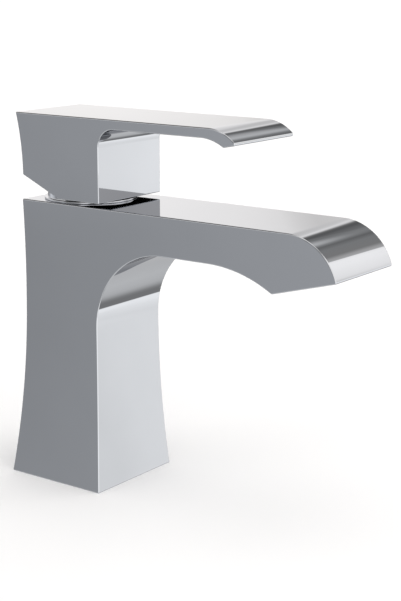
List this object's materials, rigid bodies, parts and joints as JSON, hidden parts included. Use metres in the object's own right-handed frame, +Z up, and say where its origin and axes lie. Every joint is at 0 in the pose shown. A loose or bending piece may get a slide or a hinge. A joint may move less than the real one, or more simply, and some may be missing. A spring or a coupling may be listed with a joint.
{
  "type": "basin faucet",
  "caption": "Chrome single-lever basin faucet: square flared column, flat arched spout with bullnose tip, and a thin square lever that lifts for flow and swivels for temperature.",
  "frame": {"origin": "centre of the foot's square on the deck plane, where the faucet is clamped", "axes": "+Z up, the spout and lever point to -Y, +X to the right seen from the front"},
  "size_m": [0.05, 0.1641, 0.1603],
  "materials": {
    "chrome_plate": "polished",
    "raw_brass": "satin",
    "black_rubber": "matte",
    "white_acetal": "satin",
    "grey_acetal": "satin",
    "red_acetal": "satin",
    "disc_ceramic": "satin",
    "stainless": "satin",
    "aerator_plastic": "satin",
    "index_plastic": "gloss"
  },
  "bodies": {
    "faucet_body": {"spout_body": "chrome_plate", "dome_cover": "chrome_plate", "retaining_nut": "raw_brass", "foot_gasket": "black_rubber", "dome_o_ring": "black_rubber", "housing_o_ring": "black_rubber", "port_seals": "black_rubber", "disc_seals": "black_rubber", "aerator_washer": "black_rubber", "cartridge_housing": "white_acetal", "cartridge_base": "white_acetal", "stop_ring": "red_acetal", "fixed_disc": "disc_ceramic", "aerator_screen": "stainless", "aerator_housing": "aerator_plastic", "aerator_grid": "aerator_plastic", "aerator_diffuser": "aerator_plastic"},
    "swivel": {"rotor": "grey_acetal", "rotor_o_ring": "black_rubber", "pivot_pin": "stainless"},
    "lever": {"stem": "raw_brass", "handle": "chrome_plate", "grub_screw": "stainless", "index_plug": "index_plastic"},
    "disc_slide": {"disc_carrier": "grey_acetal", "moving_disc": "disc_ceramic"}
  },
  "joints": [
    {"name": "lever_swivel", "type": "hinge", "parent": "faucet_body", "child": "swivel", "pos_m": [0, -0.00235, 0.124], "axis": [0, 0, 1], "range_deg": [-45, 45]},
    {"name": "lever_tilt", "type": "hinge", "parent": "swivel", "child": "lever", "pos_m": [0, -0.00235, 0.124], "axis": [-1, 0, 0], "range_deg": [0, 22]},
    {"name": "disc_travel", "type": "slide", "parent": "swivel", "child": "disc_slide", "axis": [0, -1, 0], "range_m": [0, 0.00326]}
  ],
  "couplings": [
    {"joint": "disc_travel", "follows": "lever_tilt", "m_per_rad": 0.0084479}
  ]
}
